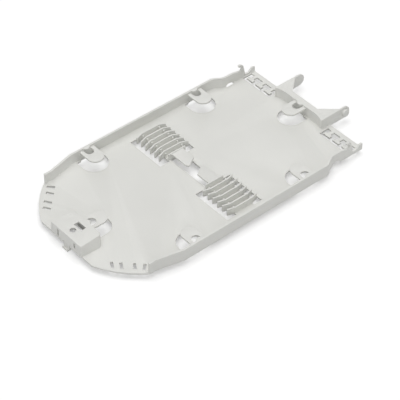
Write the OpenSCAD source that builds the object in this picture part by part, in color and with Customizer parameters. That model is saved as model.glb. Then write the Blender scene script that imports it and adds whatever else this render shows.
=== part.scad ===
// Fibre splice tray: one injection moulding.
// +X runs towards the hinge, +Y across the tray, +Z up. All lengths are in millimetres.
// Each module measures from the underside of the floor, below the middle of the splice
// combs. The finished tray is then moved so that its origin is the middle of the area it
// takes up, on the surface that it lies on.

/* [Floor] */
// Thickness of the floor
floor_t = 1.35; // [1:0.05:2]
// Radius of the floor's rounded front
nose_r = 63.3; // [62:0.1:70]
// Distance from the combs' middle to the front edge
front_reach = 101.2; // [99:0.1:103]
// Distance from the combs' middle to the floor's rear edge
rear_reach = 94.5; // [94:0.1:104]

/* [Side walls] */
// Height of the side walls, front box and hinge bracket
wall_h = 8.8; // [8.2:0.1:12]
// Thickness of the side walls
wall_t = 1.5; // [1.2:0.1:2]
// Width over the side walls
tray_w = 112.8; // [112:0.2:120]
// Width over the side walls at both narrow ends
neck_w = 104.3; // [104:0.1:106]
// Distance from the combs' middle to the front ends of the side walls
wall_front = 79; // [77:0.5:81]
// Length of the straight stretch at the front of each side wall
neck_len = 5; // [2:0.5:6]
// Length of the slanted stretch behind it
taper_len = 18; // [14:0.5:20]
// Distance from the combs' middle to the inward bend at the rear
shoulder_x = 59.5; // [58:0.5:61]
// Length of the inward bend
shoulder_len = 9.5; // [8:0.5:10]
// Distance from the combs' middle to the rear ends of the side walls
wall_rear = 86; // [85:0.5:88]
// Width of the arched port at the foot of each side wall
port_w = 7.8; // [6:0.1:9]
// Height of the arched port
port_h = 2.5; // [2:0.1:3]
// Distance from the combs' middle to the arched port
port_x = 71.9; // [70:0.1:73]
// Length of the arched port's recess in the floor
port_bite = 1; // [0.5:0.1:2]

/* [Corner hooks] */
// Outer radius of the open hook on each side wall
hook_r = 3.3; // [3:0.1:3.8]
// Inner radius of the hook
hook_bore_r = 1.65; // [1.4:0.05:1.9]
// Distance from the combs' middle to the hook's centre
hook_x = 81.2; // [80:0.1:82]
// Height of the hook's centre above the top of the wall
hook_rise = 0.3; // [0:0.1:1]
// Distance ahead of the hook over which the wall's top falls
hook_fall = 6; // [4:0.5:8]
// Angle at which the mouth of the hook ends, from straight back
mouth_angle = 110; // [95:1:130]
// Height of the kerb behind the hook
kerb_h = 2.6; // [2:0.1:3.4]
// Height of the stop at the rear corner
stop_h = 4.9; // [4:0.1:6]
// Length of the flat top of the stop
stop_len = 2.5; // [1.5:0.1:3]
// Length of the ramp up to the stop
ramp_len = 2.5; // [1.5:0.1:3]

/* [Tie slots] */
// Length of each slot for a cable tie
tie_slot_l = 5.2; // [4:0.1:6]
// Width of each slot for a cable tie
tie_slot_w = 1.9; // [1.4:0.1:2.4]

/* [Retaining tabs] */
// Thickness of the retaining tabs and nibs
tab_t = 1.15; // [0.9:0.05:1.5]
// Width of the four tabs on the side walls
tab_w = 10.9; // [9:0.1:12]
// Length of the tabs on the side walls
tab_len = 14.5; // [12:0.1:16]
// Drop from the wall's top to the top of the side tabs
tab_drop = 1.5; // [1.3:0.1:2.5]
// Distance from the combs' middle to the front pair of tabs
tab_front_x = 43.4; // [42:0.1:48]
// Distance from the combs' middle to the rear pair of tabs
tab_rear_x = 45; // [42:0.1:48]
// Width of the cut-out at the root of each tab
root_gap_w = 5.8; // [4:0.1:6.4]
// Length of the cut-out at the root of each tab
root_gap_len = 5.8; // [4:0.1:7]
// Radius of the half-round nib above each cut-out
nib_r = 2.4; // [2:0.1:2.8]
// Distance that the nib stands out
nib_len = 1.8; // [1.2:0.1:2.3]
// Half width of the window in the floor under each side tab
window_r = 9; // [8:0.1:10]
// Distance from the wall to the centre of the window's arc
window_len = 7.8; // [6:0.1:9]
// Strip of floor between the wall and the window
window_edge = 1.2; // [0.8:0.1:1.6]

/* [Middle tabs] */
// Width of the tabs on the front box and on the hinge bracket
mid_tab_w = 11.2; // [9:0.1:12]
// Length of these two tabs
mid_tab_len = 13.8; // [12:0.1:15]
// Drop from the top of the box to the top of these two tabs
mid_tab_drop = 1.2; // [1.2:0.1:2.5]
// Half width of the window under the front box's tab
box_window_r = 9; // [8:0.1:10]
// Distance from the front box to the centre of its window's arc
box_window_len = 6.7; // [6:0.1:9]
// Half width of the window under the bracket's tab
bracket_window_r = 8.5; // [8:0.1:10]
// Distance from the bracket to the centre of its window's arc
bracket_window_len = 8.1; // [6:0.1:9]

/* [Front box] */
// Width of the box's front at its top
box_front_w = 29.4; // [27:0.1:31]
// Width of the box's rear at its top
box_rear_w = 27.8; // [26:0.1:30]
// Length of the box
box_len = 16.5; // [15:0.1:18]
// Radius of the box's rear corners at the top
box_corner_r = 2.5; // [1.5:0.1:3.5]
// Spread of each side from top to bottom at the front
box_front_draft = 0.7; // [0.3:0.1:1.5]
// Spread of each side from top to bottom at the rear
box_rear_draft = 2.6; // [1:0.1:3]
// Thickness of the box's walls and top
box_t = 1.3; // [1:0.05:1.6]
// Radius of the round hole in the box's top
peg_hole_r = 2; // [1.5:0.1:2.4]
// Distance from the front edge to the round hole
peg_hole_x = 5.4; // [4.5:0.1:6]
// Length of the rectangular hole in the box's top
box_hole_l = 3.75; // [3:0.05:4.5]
// Width of the rectangular hole in the box's top
box_hole_w = 7.2; // [5:0.1:9]
// Distance from the front edge to the rectangular hole
box_hole_x = 8.85; // [8.6:0.05:10]

/* [Front latch] */
// Width of the latch tongue
latch_w = 5.2; // [4:0.1:7]
// Thickness of the latch tongue
latch_t = 1.3; // [1:0.05:1.6]
// Distance that the latch hangs below the floor
latch_drop = 3.3; // [2.5:0.1:4]
// Distance that its lip stands out
latch_lip = 1.5; // [1:0.1:2]
// Height of the lip
latch_lip_h = 1.1; // [0.8:0.1:1.5]
// Width of the slits beside the tongue
latch_slit = 0.8; // [0.5:0.1:1.2]
// Height of the slits
latch_slit_h = 1.6; // [1.4:0.1:2.5]
// Width of the two upright slots in the box's front
grip_slot_w = 1.6; // [1:0.1:2]
// Height at which the upright slots end
grip_slot_top = 6.9; // [5:0.1:7]
// Height at which the slot on the +Y side starts
grip_slot_low = 1.8; // [1.6:0.1:3]
// Height at which the slot on the -Y side starts
grip_slot_high = 3.2; // [2:0.1:4]
// Distance of the upright slots from the centre line
grip_slot_y = 8.1; // [6:0.1:10]

/* [Splice combs] */
// Number of splice slots in each of the two combs
slots = 6; // [3:1:6]
// Distance from one splice slot to the next
slot_pitch = 4.5; // [4:0.1:4.5]
// Thickness of the fins
fin_t = 0.9; // [0.7:0.05:1.1]
// Height of the fins' tops above the underside
fin_h = 5.9; // [5:0.1:7]
// Distance from the centre line to the innermost, short fins
fin_y = 18.3; // [18:0.1:19]
// Length of the fins' straight middle
fin_len = 13.9; // [12:0.1:15]
// Length of the flared front and rear ends of the fins
flare_len = 4.9; // [3:0.1:5.5]
// Distance by which the flared ends lean to the centre line
flare_y = 1.6; // [0:0.1:2]
// Gap below the flared ends
flare_gap = 1; // [0.5:0.1:1.6]
// Fall of the fins' tops towards their rear tips
flare_fall = 0.6; // [0:0.1:1]
// Width and length of the small posts in the slots
post_w = 1; // [0.8:0.05:1.2]
// Height of the posts' tops above the underside
post_h = 5.2; // [3:0.1:5.5]
// Distance from each fin to the post beside it
post_y = 1.5; // [1.4:0.1:2]
// Length of the pockets through the floor in front of the combs
front_pocket = 7.3; // [6:0.1:8]
// Length of the pockets through the floor behind the combs
rear_pocket = 6.2; // [5.5:0.1:8]
// Margin of the pockets beyond the outer fins
pocket_margin = 1.9; // [0.5:0.1:3]

/* [Centre tabs] */
// Length of the two tabs at the middle of the tray
centre_tab_l = 8.8; // [7:0.1:9.4]
// Height of their tops above the underside
centre_tab_h = 5.4; // [4:0.1:6]
// Distance from the centre line to their slanted corner
centre_tab_far = 7; // [5:0.1:9]
// Distance from the centre line to their tips
centre_tab_near = 2.4; // [1.5:0.1:3]
// Length of the open channel under them
channel_l = 9.5; // [8:0.1:11]
// Distance from the combs' middle to the channel's centre, towards the front
channel_shift = 0.6; // [0:0.1:1]

/* [Cable tie lugs] */
// Length of each opening around the lugs
lug_window_l = 7.7; // [7:0.1:8.5]
// Strip of floor behind each opening
lug_rim = 3.5; // [3:0.1:4]
// Distance from the centre line to the inner end of each opening
lug_window_in = 24.3; // [24:0.1:26]
// Distance from the centre line to the outer end of each opening
lug_window_out = 50; // [48:0.1:50]
// Number of T-shaped lugs in each opening
lugs = 3; // [1:1:3]
// Distance from one lug to the next
lug_pitch = 8.35; // [8:0.05:8.5]
// Width of the lugs' heads
lug_head_w = 5.6; // [4:0.1:6.5]
// Length of the lugs' heads
lug_head_l = 2.4; // [1.5:0.1:2.8]
// Width of the lugs' necks
lug_neck_w = 2.4; // [1.5:0.1:3]
// Gap between the front of the opening and the lugs
lug_gap = 1.9; // [1.5:0.1:2.5]

/* [Hinge bracket] */
// Width over the two hinge arms
bracket_w = 44.4; // [42:0.1:46]
// Thickness of the hinge arms
arm_t = 1.2; // [1:0.05:1.6]
// Distance from the combs' middle to the bracket's front corners
bracket_x = 86.7; // [85:0.1:89]
// Thickness of the bracket's front wall and top
bracket_t = 1.3; // [1:0.05:1.6]
// Distance by which the front wall bows back at the middle
bow = 1.7; // [0.5:0.1:2.5]
// Length of each bowed end of the front wall
bow_len = 9; // [6:0.5:12]
// Distance from the combs' middle to the rear edge of the bracket's top
bracket_rear = 92.9; // [92:0.1:94]
// Length of the slanted gusset along each hinge arm
gusset_l = 10.5; // [6:0.1:12]
// Width of the slanted gusset
gusset_w = 9; // [6:0.1:10]
// Distance from the combs' middle to the hinge axis
hinge_x = 107.2; // [106:0.1:112]
// Radius of the two hinge pins
pin_r = 2.7; // [2:0.05:3.2]
// Length of the two hinge pins
pin_len = 1.7; // [1.2:0.1:2.5]

/* [Ejector marks] */
// Radius of the round ejector marks
mark_r = 2.2; // [1.8:0.1:2.4]
// Depth of the ejector marks
mark_depth = 0.12; // [0.05:0.01:0.3]

/* [Hidden] */
$fn = 96;
// Overlap where two shapes of the moulding join, and overshoot of cuts
lap = 0.5;
// Gap between the rounded front's circle and the side walls' outer corners
nose_step = 0.05;
// Upright stretch at the top and at the foot of the front box's drafted sides
box_band = 0.6;
// Facets of the front box's rounded corners
corner_fn = 32;
// Steps in each curved stretch of an outline
steps = 10;
// Middle and heading of each cable tie slot: [x, y, angle]
tie_slots = [[-78.2, 46.2, -45], [-82.2, 42, -58], [-88, 36.4, -58], [-91.8, 32.3, -58]];

wall_in = tray_w / 2 - wall_t;
nose_x = sqrt(pow(nose_r, 2) - pow(neck_w / 2 - nose_step, 2)) - wall_front;
mid_x = (hinge_x + wall_h / 2 - front_reach - latch_lip) / 2;
box_rear = box_len - front_reach;
hook_z = wall_h + hook_rise;
hook_root = hook_x - hook_fall;
mid_y = bracket_w / 2;
bracket_face = bracket_x + bow;
pocket_in = fin_y - fin_t / 2 - flare_y / 2;
pocket_out = fin_y + slots * slot_pitch + pocket_margin;
island_x = fin_len / 2 + 0.2;
tray_colour = [0.92, 0.92, 0.9];

// Direction from one point of an outline to the next
function heading(a, b) = (b - a) / norm(b - a);

// Sideways step that keeps one thickness on both sides of corner i
function corner_step(path, i) =
    let (
        before = max(i - 1, 0),
        after = min(i, len(path) - 2),
        d0 = heading(path[before], path[before + 1]),
        d1 = heading(path[after], path[after + 1]),
        m = (d0 + d1) / (1 + d0 * d1)
    )
    [m.y, -m.x];

// The same outline moved sideways by a distance
function shifted(path, distance) =
    [for (i = [0 : len(path) - 1]) path[i] + distance * corner_step(path, i)];

function reversed(list) = [for (i = [len(list) - 1 : -1 : 0]) list[i]];

// Smooth step from 0 to 1
function ease(t) = (1 - cos(180 * t)) / 2;

// A strip of one thickness along an outline
module strip(path, side_a, side_b) {
    polygon(concat(shifted(path, side_a), reversed(shifted(path, side_b))));
}

module both_sides() {
    children();
    mirror([0, 1, 0]) children();
}

// ---- Floor ----

// Outer face of the +Y side wall, from its front end to where the hook's slope starts
function wall_path() = concat(
    [
        [-wall_front, neck_w / 2],
        [-wall_front + neck_len, neck_w / 2],
        [-wall_front + neck_len + taper_len, tray_w / 2]
    ],
    [
        for (i = [0 : steps])
            [
                shoulder_x + shoulder_len * i / steps,
                (tray_w - (tray_w - neck_w) * ease(i / steps)) / 2
            ]
    ],
    [[hook_root, neck_w / 2]]
);

module floor_outline() {
    half = wall_path();
    mirrored = [for (p = reversed(half)) [p.x, -p.y]];
    polygon(concat(half, mirrored));
    translate([hook_root - lap, -neck_w / 2])
        square([rear_reach - hook_root + lap, neck_w]);
    intersection() {
        translate([nose_x, 0])
            circle(r = nose_r);
        translate([-front_reach, -neck_w / 2])
            square([front_reach - wall_front + lap, neck_w]);
    }
}

// Window under a tab that starts at the origin and points along +X
module tab_window(radius, length) {
    translate([window_edge, -radius])
        square([length - window_edge, 2 * radius]);
    translate([length, 0])
        circle(r = radius);
}

module tie_slot() {
    square([tie_slot_l, tie_slot_w], center = true);
}

module comb_pockets() {
    pocket_w = pocket_out - pocket_in;
    translate([-island_x - front_pocket, pocket_in])
        square([front_pocket, pocket_w]);
    translate([island_x, pocket_in])
        square([rear_pocket, pocket_w]);
}

module centre_channel() {
    half_w = fin_y - fin_t / 2 - lap / 2;
    translate([-channel_shift - channel_l / 2, -half_w])
        square([channel_l, 2 * half_w]);
}

// Opening with T-shaped lugs that cable ties go round
module lug_window() {
    length = lug_window_l;
    front = rear_reach - lug_rim - length;
    middle = (lug_window_in + lug_window_out) / 2;
    difference() {
        translate([front, lug_window_in])
            square([length, lug_window_out - lug_window_in]);
        for (i = [0 : lugs - 1])
            translate([front + lug_gap, middle + (i - (lugs - 1) / 2) * lug_pitch]) {
                translate([0, -lug_head_w / 2])
                    square([lug_head_l, lug_head_w]);
                translate([0, -lug_neck_w / 2])
                    square([length - lug_gap + lap, lug_neck_w]);
            }
    }
}

module floor_plate() {
    linear_extrude(floor_t)
        difference() {
            floor_outline();
            translate([box_rear, 0])
                tab_window(box_window_r, box_window_len);
            translate([bracket_face, 0])
                mirror([1, 0])
                    tab_window(bracket_window_r, bracket_window_len);
            centre_channel();
            both_sides() {
                for (x = [-tab_front_x, tab_rear_x])
                    translate([x, wall_in])
                        rotate(-90)
                            tab_window(window_r, window_len);
                for (slot = tie_slots)
                    translate([slot.x, slot.y])
                        rotate(slot[2])
                            tie_slot();
                comb_pockets();
                lug_window();
            }
        }
}

// ---- Side walls ----

// Side view of the wall's rear end: slope, hook, kerb and corner stop
module hook_profile() {
    ramp_x = rear_reach - stop_len - ramp_len;
    translate([hook_x, hook_z])
        difference() {
            circle(r = hook_r);
            circle(r = hook_bore_r);
            polygon(concat(
                [[0, 0]],
                [
                    for (a = [mouth_angle : (270 - mouth_angle) / 4 : 270])
                        2 * hook_r * [cos(a), sin(a)]
                ]
            ));
        }
    difference() {
        polygon([
            [hook_root - lap, 0],
            [wall_rear, 0],
            [wall_rear, kerb_h],
            [hook_x + hook_r, hook_z],
            [hook_x, hook_z],
            [hook_x, hook_z - hook_bore_r],
            [hook_root, wall_h],
            [hook_root - lap, wall_h]
        ]);
        translate([hook_x, hook_z])
            circle(r = hook_bore_r);
    }
    polygon([
        [wall_rear - lap, 0],
        [rear_reach, 0],
        [rear_reach, stop_h],
        [rear_reach - stop_len, stop_h],
        [ramp_x, kerb_h],
        [wall_rear - lap, kerb_h]
    ]);
}

module side_wall() {
    linear_extrude(wall_h)
        strip(wall_path(), 0, wall_t);
    translate([0, neck_w / 2, 0])
        rotate([90, 0, 0])
            linear_extrude(wall_t)
                hook_profile();
}

// Arched port through the foot of the wall
module wall_port() {
    radius = (pow(port_w / 2, 2) + pow(port_h, 2)) / (2 * port_h);
    depth = wall_t + port_bite;
    translate([port_x, neck_w / 2 - depth, port_h - radius])
        rotate([-90, 0, 0])
            cylinder(r = radius, h = depth + tray_w / 2);
}

// ---- Retaining tabs ----

// Tab that starts at the origin and points along +X, with its top at height top_z
module tab(width, length, top_z) {
    gap_r = root_gap_w / 2;
    translate([0, 0, top_z - tab_t])
        linear_extrude(tab_t)
            difference() {
                union() {
                    translate([-lap, -width / 2])
                        square([length - width / 2 + lap, width]);
                    translate([length - width / 2, 0])
                        circle(d = width);
                }
                translate([-2 * lap, -gap_r])
                    square([root_gap_len - gap_r + 2 * lap, root_gap_w]);
                translate([root_gap_len - gap_r, 0])
                    circle(r = gap_r);
            }
}

// Half-round nib at the top of the wall, above the cut-out of the tab
module nib() {
    translate([0, 0, wall_h - tab_t])
        linear_extrude(tab_t)
            intersection() {
                translate([nib_len - nib_r, 0])
                    circle(r = nib_r);
                translate([-lap, -nib_r])
                    square([nib_len + lap, 2 * nib_r]);
            }
}

module side_tabs() {
    for (x = [-tab_front_x, tab_rear_x])
        translate([x, wall_in, 0])
            rotate(-90) {
                tab(tab_w, tab_len, wall_h - tab_drop);
                nib();
            }
}

module middle_tab() {
    tab(mid_tab_w, mid_tab_len, wall_h - mid_tab_drop);
    nib();
}

// ---- Front box and latch ----

// Flat band of the box: square corners at its front, rounded ones at its rear
module box_slice(z, front_half, rear_half, corner, inset) {
    radius = max(corner - inset, inset / 4);
    translate([0, 0, z])
        linear_extrude(box_band) {
            translate([-front_reach + inset, inset - front_half])
                square([box_t, 2 * (front_half - inset)]);
            for (side = [-1, 1])
                translate([box_rear - inset - radius, side * (rear_half - inset - radius)])
                    circle(r = radius, $fn = corner_fn);
        }
}

// Solid that the box's outer or, with an inset, its inner faces bound
module box_form(inset, foot, top) {
    hull() {
        box_slice(
            foot,
            box_front_w / 2 + box_front_draft,
            box_rear_w / 2 + box_rear_draft,
            box_corner_r + box_rear_draft,
            inset
        );
        box_slice(top - box_band, box_front_w / 2, box_rear_w / 2, box_corner_r, inset);
    }
}

module box_cuts() {
    box_form(box_t, -lap, wall_h - box_t);
    translate([peg_hole_x - front_reach, 0, wall_h - 2 * box_t])
        cylinder(r = peg_hole_r, h = 3 * box_t);
    translate([box_hole_x - front_reach, -box_hole_w / 2, wall_h - 2 * box_t])
        cube([box_hole_l, box_hole_w, 3 * box_t]);
    for (side = [-1, 1]) {
        low = side > 0 ? grip_slot_low : grip_slot_high;
        translate([-front_reach - lap, side * grip_slot_y - grip_slot_w / 2, low])
            cube([box_t + 2 * lap, grip_slot_w, grip_slot_top - low]);
        slit_y = side * (latch_w + latch_slit) / 2 - latch_slit / 2;
        translate([-front_reach - lap, slit_y, -lap])
            cube([box_t + 2 * lap, latch_slit, latch_slit_h + lap]);
    }
}

// Side view of the latch tongue, a J that hooks forwards
module latch() {
    translate([-front_reach, latch_w / 2, 0])
        rotate([90, 0, 0])
            linear_extrude(latch_w)
                polygon([
                    [0, latch_slit_h],
                    [0, latch_lip_h - latch_drop],
                    [-latch_lip, latch_lip_h - latch_drop],
                    [-latch_lip, 0.2 - latch_drop],
                    [0.2 - latch_lip, -latch_drop],
                    [latch_t - 0.6, -latch_drop],
                    [latch_t, 0.6 - latch_drop],
                    [latch_t, latch_slit_h]
                ]);
}

// ---- Splice combs ----

function fin_path(y) = [
    [-fin_len / 2 - flare_len, y - flare_y],
    [-fin_len / 2, y],
    [fin_len / 2, y],
    [fin_len / 2 + flare_len, y - flare_y]
];

// Side view that all fins share: they stand on the floor and hang free over the pockets
module fin_profile() {
    tip = fin_len / 2 + flare_len + lap;
    polygon([
        [-tip, flare_gap],
        [-island_x, flare_gap],
        [-island_x, 0],
        [island_x, 0],
        [island_x, flare_gap],
        [tip, flare_gap],
        [tip, fin_h - flare_fall],
        [fin_len / 2, fin_h],
        [-tip, fin_h]
    ]);
}

module comb() {
    intersection() {
        linear_extrude(fin_h)
            for (i = [1 : slots])
                strip(fin_path(fin_y + i * slot_pitch), -fin_t / 2, fin_t / 2);
        translate([0, tray_w / 2, 0])
            rotate([90, 0, 0])
                linear_extrude(tray_w / 2)
                    fin_profile();
    }
    translate([-fin_len / 2, fin_y - fin_t / 2, 0])
        cube([fin_len, fin_t, fin_h]);
    for (i = [1 : slots])
        for (end = [-1, 1])
            translate([end * (island_x - post_w / 2), fin_y + i * slot_pitch - post_y, post_h / 2])
                cube([post_w, post_w, post_h], center = true);
}

// Tab from the +Y comb towards the middle, over the open channel
module centre_tab() {
    half_l = centre_tab_l / 2;
    nose = 1.5;
    translate([0, 0, centre_tab_h - tab_t])
        linear_extrude(tab_t) {
            polygon([
                [-half_l, fin_y],
                [-half_l, centre_tab_near + nose],
                [-half_l + nose, centre_tab_near],
                [-nose, centre_tab_near + nose / 2],
                [half_l, centre_tab_far],
                [half_l, fin_y]
            ]);
        }
}

// ---- Hinge bracket ----

// Front face of the bracket from the +Y corner to the -Y corner
function bracket_face_path() = concat(
    [for (i = [0 : steps]) [bracket_x + bow * sin(90 * i / steps), mid_y - bow_len * i / steps]],
    [for (i = [steps : -1 : 0]) [bracket_x + bow * sin(90 * i / steps), bow_len * i / steps - mid_y]]
);

module bracket() {
    face = bracket_face_path();
    // Front wall
    linear_extrude(wall_h)
        polygon(concat(face, [for (p = reversed(face)) [p.x + bracket_t, p.y]]));
    // Top with its two gussets
    translate([0, 0, wall_h - bracket_t])
        linear_extrude(bracket_t)
            polygon(concat(
                face,
                [
                    [bracket_rear + gusset_l, -mid_y],
                    [bracket_rear + gusset_l, arm_t - mid_y],
                    [bracket_rear, arm_t + gusset_w - mid_y],
                    [bracket_rear, mid_y - arm_t - gusset_w],
                    [bracket_rear + gusset_l, mid_y - arm_t],
                    [bracket_rear + gusset_l, mid_y]
                ]
            ));
}

module hinge_arm() {
    translate([0, mid_y, 0])
        rotate([90, 0, 0])
            linear_extrude(arm_t) {
                translate([bracket_x, 0])
                    square([hinge_x - bracket_x, wall_h]);
                translate([hinge_x, wall_h / 2])
                    circle(d = wall_h);
            }
    translate([hinge_x, mid_y - arm_t / 2, wall_h / 2])
        rotate([-90, 0, 0])
            cylinder(r = pin_r, h = pin_len + arm_t / 2);
}

// ---- Ejector marks ----

module marks() {
    translate([0, 0, wall_h - mark_depth]) {
        translate([peg_hole_x - front_reach + 5.6, box_rear_w / 2 - mark_r - 1.4, 0])
            cylinder(r = mark_r, h = 1);
        both_sides()
            translate([bracket_x + mark_r + 2.4, mid_y - mark_r - 1.6, 0])
                cylinder(r = mark_r, h = 1);
    }
}

module moulding() {
    difference() {
        union() {
            floor_plate();
            box_form(0, 0, wall_h);
            bracket();
            both_sides() {
                side_wall();
                side_tabs();
                comb();
                hinge_arm();
            }
            translate([box_rear, 0, 0])
                middle_tab();
            translate([bracket_face, 0, 0])
                rotate(180)
                    middle_tab();
            centre_tab();
            rotate(180)
                centre_tab();
        }
        both_sides()
            wall_port();
        box_cuts();
        marks();
    }
    latch();
}

module splice_tray() {
    color(tray_colour)
        translate([-mid_x, 0, latch_drop])
            moulding();
}

splice_tray();
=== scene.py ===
"""Looks of a moulded fibre splice tray, laid out as an add-on and run as a script."""

import math

import bmesh
import bpy
from mathutils import Matrix, Vector


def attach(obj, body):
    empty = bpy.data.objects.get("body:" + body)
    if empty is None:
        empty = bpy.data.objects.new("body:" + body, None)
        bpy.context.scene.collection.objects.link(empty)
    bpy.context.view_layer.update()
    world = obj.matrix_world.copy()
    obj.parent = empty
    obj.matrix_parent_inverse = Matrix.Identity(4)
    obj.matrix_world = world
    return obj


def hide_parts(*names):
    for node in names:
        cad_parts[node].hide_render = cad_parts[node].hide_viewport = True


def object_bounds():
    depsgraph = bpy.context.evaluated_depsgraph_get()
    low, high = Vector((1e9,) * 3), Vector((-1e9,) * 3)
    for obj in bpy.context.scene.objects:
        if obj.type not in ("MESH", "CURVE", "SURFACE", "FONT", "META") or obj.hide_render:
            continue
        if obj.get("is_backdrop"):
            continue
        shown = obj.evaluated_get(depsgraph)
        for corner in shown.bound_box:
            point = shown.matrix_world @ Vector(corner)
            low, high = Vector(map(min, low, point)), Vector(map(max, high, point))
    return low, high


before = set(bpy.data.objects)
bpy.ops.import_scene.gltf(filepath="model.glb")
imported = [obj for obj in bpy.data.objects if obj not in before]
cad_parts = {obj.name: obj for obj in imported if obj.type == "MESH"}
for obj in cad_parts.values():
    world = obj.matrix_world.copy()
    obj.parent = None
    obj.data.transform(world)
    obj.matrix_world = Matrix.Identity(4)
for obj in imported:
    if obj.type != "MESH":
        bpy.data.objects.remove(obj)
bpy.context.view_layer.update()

bl_info = {
    "name": "Fibre Splice Tray",
    "version": (1, 0, 0),
    "blender": (4, 5, 0),
    "location": "View3D > Sidebar > Splice Tray",
    "description": "Finishes a moulded fibre splice tray and sets its studio",
    "category": "Object",
}

MM = 0.001
TRAY_NODE = "splice_tray"
PIECE_NAME = "moulded_tray"

# Merging of the copied solid's mesh, and the angles that make an edge soft or sharp
MERGE_DISTANCE = 0.001 * MM
FLAT_ANGLE = math.radians(0.5)
BEVEL_ANGLE = math.radians(40)
BEVEL_STEPS = 2
SHARP_ANGLE = math.radians(35)

# Plastic: band of the noise that is spread out, its levels of detail, and its gloss
NOISE_LOW, NOISE_HIGH = 0.3, 0.7
CLOUD_DETAIL = 3.0
PATCH_DETAIL = 4.0
GRAIN_DETAIL = 2.0
PATCHES_PER_CLOUD = 4
GLOSS_DRIFT = 0.05
PLASTIC_IOR = 1.5

# Paper floor: two greys, and the size and detail of the clouds between them
PAPER_DARK = (0.86, 0.86, 0.86, 1.0)
PAPER_PALE = (0.88, 0.88, 0.88, 1.0)
PAPER_CLOUD_SIZE = 50 * MM
PAPER_DETAIL = 2.0

SENSOR_WIDTH = 36.0
CLIP_START = 0.01
# Strength of the air's light on the object, and where the camera sees it
AIR_FILL = 0.30
AIR_SEEN = 1.0
# Name, sides, place and power of each lamp, all turned to the middle of the tray's foot
LAMPS = (
    ("overhead", (1.6, 1.6), (0.1, 0.15, 1.5), 15.0),
    ("front", (1.0, 0.7), (-1.0, -1.2, 0.9), 4.0),
)


class TrayFinish(bpy.types.PropertyGroup):
    """Colour, gloss and edges of the moulded tray"""

    plastic_colour: bpy.props.FloatVectorProperty(
        name="Plastic",
        description="Base colour of the moulded plastic",
        default=(0.80, 0.80, 0.765),
        size=3,
        min=0.0,
        max=1.0,
        subtype="COLOR",
    )
    flow_contrast: bpy.props.FloatProperty(
        name="Flow contrast",
        description="How far the colour drifts along the moulding",
        default=0.03,
        min=0.0,
        max=0.2,
        subtype="FACTOR",
    )
    flow_size: bpy.props.FloatProperty(
        name="Flow size",
        description="Size of the faint clouds in the plastic",
        default=28 * MM,
        min=5 * MM,
        unit="LENGTH",
    )
    roughness: bpy.props.FloatProperty(
        name="Roughness",
        description="Mean roughness of the satin surface",
        default=0.46,
        min=0.0,
        max=1.0,
        subtype="FACTOR",
    )
    grain_size: bpy.props.FloatProperty(
        name="Grain size",
        description="Size of the fine grain that the mould leaves",
        default=0.35 * MM,
        min=0.05 * MM,
        unit="LENGTH",
    )
    grain_depth: bpy.props.FloatProperty(
        name="Grain depth",
        description="Depth of the fine grain",
        default=0.008 * MM,
        min=0.0,
        unit="LENGTH",
    )
    edge_radius: bpy.props.FloatProperty(
        name="Edge radius",
        description="Radius of the softened edges of the moulding",
        default=0.12 * MM,
        min=0.02 * MM,
        unit="LENGTH",
    )


class TrayStudio(bpy.types.PropertyGroup):
    """Camera, floor and lamps"""

    azimuth: bpy.props.FloatProperty(
        name="Azimuth",
        description="Heading of the camera's view, from +X towards +Y",
        default=math.radians(50.0),
        subtype="ANGLE",
    )
    elevation: bpy.props.FloatProperty(
        name="Elevation",
        description="Height of the camera above the horizon",
        default=math.radians(42.68),
        subtype="ANGLE",
    )
    roll: bpy.props.FloatProperty(
        name="Roll",
        description="Turn of the camera about its line of sight",
        default=math.radians(-0.3),
        subtype="ANGLE",
    )
    distance: bpy.props.FloatProperty(
        name="Distance",
        description="Distance from the camera to the point that it looks at",
        default=1.086,
        min=0.1,
        unit="LENGTH",
    )
    aim: bpy.props.FloatVectorProperty(
        name="Aim",
        description="Point that the camera looks at, from the middle of the tray's foot",
        default=(-0.01914, -0.02173, 0.0033),
        size=3,
        subtype="TRANSLATION",
        unit="LENGTH",
    )
    lens: bpy.props.FloatProperty(
        name="Lens",
        description="Focal length of the camera in millimetres",
        default=158.7,
        min=10.0,
    )
    floor_size: bpy.props.FloatProperty(
        name="Floor size",
        description="Side of the square floor",
        default=6.0,
        min=1.0,
        unit="LENGTH",
    )
    floor_lift: bpy.props.FloatProperty(
        name="Floor lift",
        description="Light that the floor adds to what the camera sees of it",
        default=0.32,
        min=0.0,
        max=1.0,
        subtype="FACTOR",
    )


# ---- Materials ----


def new_material(name):
    material = bpy.data.materials.new(name)
    material.use_nodes = True
    material.node_tree.nodes.clear()
    return material, material.node_tree


def add_node(tree, kind, place, **settings):
    node = tree.nodes.new(kind)
    node.location = place
    for key, value in settings.items():
        setattr(node, key, value)
    return node


def noise(tree, coordinates, place, size, detail):
    texture = add_node(tree, "ShaderNodeTexNoise", place)
    texture.inputs["Scale"].default_value = 1.0 / size
    texture.inputs["Detail"].default_value = detail
    tree.links.new(coordinates, texture.inputs["Vector"])
    return texture.outputs["Fac"]


def spread(tree, value, place, low, high):
    ranged = add_node(tree, "ShaderNodeMapRange", place)
    ranged.inputs["From Min"].default_value = NOISE_LOW
    ranged.inputs["From Max"].default_value = NOISE_HIGH
    ranged.inputs["To Min"].default_value = low
    ranged.inputs["To Max"].default_value = high
    tree.links.new(value, ranged.inputs["Value"])
    return ranged.outputs["Result"]


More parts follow.
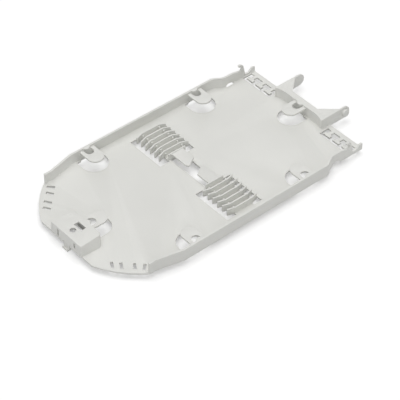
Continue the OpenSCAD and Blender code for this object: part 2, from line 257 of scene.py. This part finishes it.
def moulded_plastic(finish):
    """Satin off-white plastic with a fine grain and faint clouds from the flow in the mould"""
    material, tree = new_material("moulded_plastic")
    links = tree.links
    output = add_node(tree, "ShaderNodeOutputMaterial", (600, 0))
    shader = add_node(tree, "ShaderNodeBsdfPrincipled", (300, 0))
    links.new(shader.outputs["BSDF"], output.inputs["Surface"])
    where = add_node(tree, "ShaderNodeTexCoord", (-900, 0)).outputs["Object"]

    clouds = noise(tree, where, (-700, 250), finish.flow_size, CLOUD_DETAIL)
    tint = add_node(tree, "ShaderNodeMix", (0, 250), data_type="RGBA")
    base = Vector(finish.plastic_colour)
    pale = base * (1.0 + finish.flow_contrast / 2)
    deep = base * (1.0 - finish.flow_contrast / 2)
    tint.inputs["A"].default_value = (*deep, 1.0)
    tint.inputs["B"].default_value = (*pale, 1.0)
    links.new(spread(tree, clouds, (-350, 250), 0.0, 1.0), tint.inputs["Factor"])
    links.new(tint.outputs["Result"], shader.inputs["Base Color"])

    grain = noise(tree, where, (-700, -250), finish.grain_size, GRAIN_DETAIL)
    bump = add_node(tree, "ShaderNodeBump", (0, -250))
    bump.inputs["Strength"].default_value = 1.0
    bump.inputs["Distance"].default_value = finish.grain_depth
    links.new(grain, bump.inputs["Height"])
    links.new(bump.outputs["Normal"], shader.inputs["Normal"])

    patch_size = finish.flow_size / PATCHES_PER_CLOUD
    patches = noise(tree, where, (-700, 0), patch_size, PATCH_DETAIL)
    smooth, rough = finish.roughness - GLOSS_DRIFT, finish.roughness + GLOSS_DRIFT
    gloss = spread(tree, patches, (-350, 0), smooth, rough)
    links.new(gloss, shader.inputs["Roughness"])
    shader.inputs["IOR"].default_value = PLASTIC_IOR
    return material


def seamless_floor(studio):
    """White paper that the camera sees as white where nothing shades it"""
    material, tree = new_material("seamless_paper")
    links = tree.links
    output = add_node(tree, "ShaderNodeOutputMaterial", (600, 0))
    where = add_node(tree, "ShaderNodeTexCoord", (-700, 0)).outputs["Object"]
    paper = add_node(tree, "ShaderNodeBsdfDiffuse", (0, 0))
    tint = add_node(tree, "ShaderNodeMix", (-250, 0), data_type="RGBA")
    tint.inputs["A"].default_value = PAPER_DARK
    tint.inputs["B"].default_value = PAPER_PALE
    clouds = noise(tree, where, (-500, 0), PAPER_CLOUD_SIZE, PAPER_DETAIL)
    links.new(clouds, tint.inputs["Factor"])
    links.new(tint.outputs["Result"], paper.inputs["Color"])
    lift = add_node(tree, "ShaderNodeEmission", (0, -200))
    seen = seen_directly(tree, (-700, -300))
    strength = add_node(tree, "ShaderNodeMath", (-250, -250), operation="MULTIPLY")
    links.new(seen, strength.inputs[0])
    strength.inputs[1].default_value = studio.floor_lift
    links.new(strength.outputs[0], lift.inputs["Strength"])
    both = add_node(tree, "ShaderNodeAddShader", (300, 0))
    links.new(paper.outputs[0], both.inputs[0])
    links.new(lift.outputs[0], both.inputs[1])
    links.new(both.outputs[0], output.inputs["Surface"])
    return material


def seen_directly(tree, place):
    """1 for rays from the camera, mirror rays and rays through glass, and 0 for the rest"""
    path = add_node(tree, "ShaderNodeLightPath", place)
    first = add_node(tree, "ShaderNodeMath", (place[0] + 180, place[1]), operation="MAXIMUM")
    second = add_node(tree, "ShaderNodeMath", (place[0] + 340, place[1]), operation="MAXIMUM")
    tree.links.new(path.outputs["Is Camera Ray"], first.inputs[0])
    tree.links.new(path.outputs["Is Glossy Ray"], first.inputs[1])
    tree.links.new(first.outputs[0], second.inputs[0])
    tree.links.new(path.outputs["Is Transmission Ray"], second.inputs[1])
    return second.outputs[0]


# ---- Pieces ----


def softened_copy(node, radius):
    """Copy of a CAD solid whose sharp edges are rounded by a small radius"""
    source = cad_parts[node]
    mesh = source.data.copy()
    shape = bmesh.new()
    shape.from_mesh(mesh)
    bmesh.ops.remove_doubles(shape, verts=shape.verts, dist=MERGE_DISTANCE)
    bmesh.ops.dissolve_limit(
        shape, angle_limit=FLAT_ANGLE, verts=shape.verts, edges=shape.edges
    )
    shape.to_mesh(mesh)
    shape.free()
    mesh.materials.clear()
    piece = bpy.data.objects.new(PIECE_NAME, mesh)
    bpy.context.scene.collection.objects.link(piece)
    bevel = piece.modifiers.new("soft_edges", "BEVEL")
    bevel.width = radius
    bevel.segments = BEVEL_STEPS
    bevel.limit_method = "ANGLE"
    bevel.angle_limit = BEVEL_ANGLE
    bevel.use_clamp_overlap = True
    bevel.harden_normals = False
    evaluated = piece.evaluated_get(bpy.context.evaluated_depsgraph_get())
    finished = bpy.data.meshes.new_from_object(evaluated)
    piece.modifiers.clear()
    piece.data = finished
    finished.name = PIECE_NAME
    for polygon in finished.polygons:
        polygon.use_smooth = True
    finished.set_sharp_from_angle(angle=SHARP_ANGLE)
    return piece


class SPLICETRAY_OT_moulding(bpy.types.Operator):
    """Finish the moulded tray: soft edges and satin plastic"""

    bl_idname = "splicetray.moulding"
    bl_label = "Moulded tray"

    def execute(self, context):
        finish = context.scene.tray_finish
        piece = softened_copy(TRAY_NODE, finish.edge_radius)
        piece.data.materials.clear()
        piece.data.materials.append(moulded_plastic(finish))
        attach(piece, "root")
        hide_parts(TRAY_NODE)
        return {"FINISHED"}


# ---- Studio ----


def add_lamp(name, size, place, watts):
    """Soft rectangular lamp turned to the middle of the tray's foot"""
    data = bpy.data.lights.new(name, "AREA")
    data.shape = "RECTANGLE"
    data.size, data.size_y = size
    data.energy = watts
    lamp = bpy.data.objects.new(name, data)
    lamp.location = place
    lamp.rotation_euler = (-Vector(place)).to_track_quat("-Z", "Y").to_euler()
    bpy.context.scene.collection.objects.link(lamp)


def view_axes(azimuth, elevation, roll):
    """Right, up and forward directions of a camera"""
    forward = Vector(
        (
            math.cos(elevation) * math.cos(azimuth),
            math.cos(elevation) * math.sin(azimuth),
            -math.sin(elevation),
        )
    )
    right = Vector((math.sin(azimuth), -math.cos(azimuth), 0.0))
    up = right.cross(forward)
    turned_right = math.cos(roll) * right + math.sin(roll) * up
    turned_up = math.cos(roll) * up - math.sin(roll) * right
    return turned_right, turned_up, forward


def add_camera(studio):
    data = bpy.data.cameras.new("camera")
    data.lens = studio.lens
    data.sensor_width = SENSOR_WIDTH
    data.clip_start = CLIP_START
    camera = bpy.data.objects.new("camera", data)
    right, up, forward = view_axes(studio.azimuth, studio.elevation, studio.roll)
    turn = Matrix((right, up, -forward)).transposed().to_4x4()
    place = Vector(studio.aim) - forward * studio.distance
    camera.matrix_world = Matrix.Translation(place) @ turn
    bpy.context.scene.collection.objects.link(camera)
    bpy.context.scene.camera = camera


def add_floor(studio):
    low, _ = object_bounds()
    half = studio.floor_size / 2
    corners = [(-half, -half), (half, -half), (half, half), (-half, half)]
    mesh = bpy.data.meshes.new("floor")
    mesh.from_pydata([(x, y, low.z) for x, y in corners], [], [(0, 1, 2, 3)])
    mesh.materials.append(seamless_floor(studio))
    floor = bpy.data.objects.new("floor", mesh)
    bpy.context.scene.collection.objects.link(floor)
    floor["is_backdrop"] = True


def white_world():
    world = bpy.data.worlds.new("studio_air")
    bpy.context.scene.world = world
    world.use_nodes = True
    tree = world.node_tree
    tree.nodes.clear()
    output = add_node(tree, "ShaderNodeOutputWorld", (600, 0))
    background = add_node(tree, "ShaderNodeBackground", (300, 0))
    background.inputs["Color"].default_value = (1.0, 1.0, 1.0, 1.0)
    seen = seen_directly(tree, (-500, 0))
    strength = add_node(tree, "ShaderNodeMapRange", (50, 0))
    strength.inputs["To Min"].default_value = AIR_FILL
    strength.inputs["To Max"].default_value = AIR_SEEN
    tree.links.new(seen, strength.inputs["Value"])
    tree.links.new(strength.outputs["Result"], background.inputs["Strength"])
    tree.links.new(background.outputs[0], output.inputs["Surface"])


class SPLICETRAY_OT_studio(bpy.types.Operator):
    """Set the white floor, the lamps and the camera"""

    bl_idname = "splicetray.studio"
    bl_label = "Studio"

    def execute(self, context):
        studio = context.scene.tray_studio
        context.scene.view_settings.view_transform = "Standard"
        add_camera(studio)
        add_floor(studio)
        white_world()
        for lamp in LAMPS:
            add_lamp(*lamp)
        return {"FINISHED"}


class SPLICETRAY_PT_panel(bpy.types.Panel):
    """Sizes and colours of the splice tray"""

    bl_idname = "SPLICETRAY_PT_panel"
    bl_label = "Splice Tray"
    bl_space_type = "VIEW_3D"
    bl_region_type = "UI"
    bl_category = "Splice Tray"

    def draw(self, context):
        for label, group, operator in (
            ("Moulding", context.scene.tray_finish, SPLICETRAY_OT_moulding),
            ("Studio", context.scene.tray_studio, SPLICETRAY_OT_studio),
        ):
            box = self.layout.box()
            box.label(text=label)
            for name in group.bl_rna.properties.keys():
                if name not in {"rna_type", "name"}:
                    box.prop(group, name)
            box.operator(operator.bl_idname)


CLASSES = (
    TrayFinish,
    TrayStudio,
    SPLICETRAY_OT_moulding,
    SPLICETRAY_OT_studio,
    SPLICETRAY_PT_panel,
)


def register():
    for cls in CLASSES:
        bpy.utils.register_class(cls)
    bpy.types.Scene.tray_finish = bpy.props.PointerProperty(type=TrayFinish)
    bpy.types.Scene.tray_studio = bpy.props.PointerProperty(type=TrayStudio)


def unregister():
    del bpy.types.Scene.tray_studio
    del bpy.types.Scene.tray_finish
    for cls in reversed(CLASSES):
        bpy.utils.unregister_class(cls)


def main():
    register()
    bpy.ops.splicetray.moulding()
    bpy.ops.splicetray.studio()


if __name__ == "__main__":
    main()
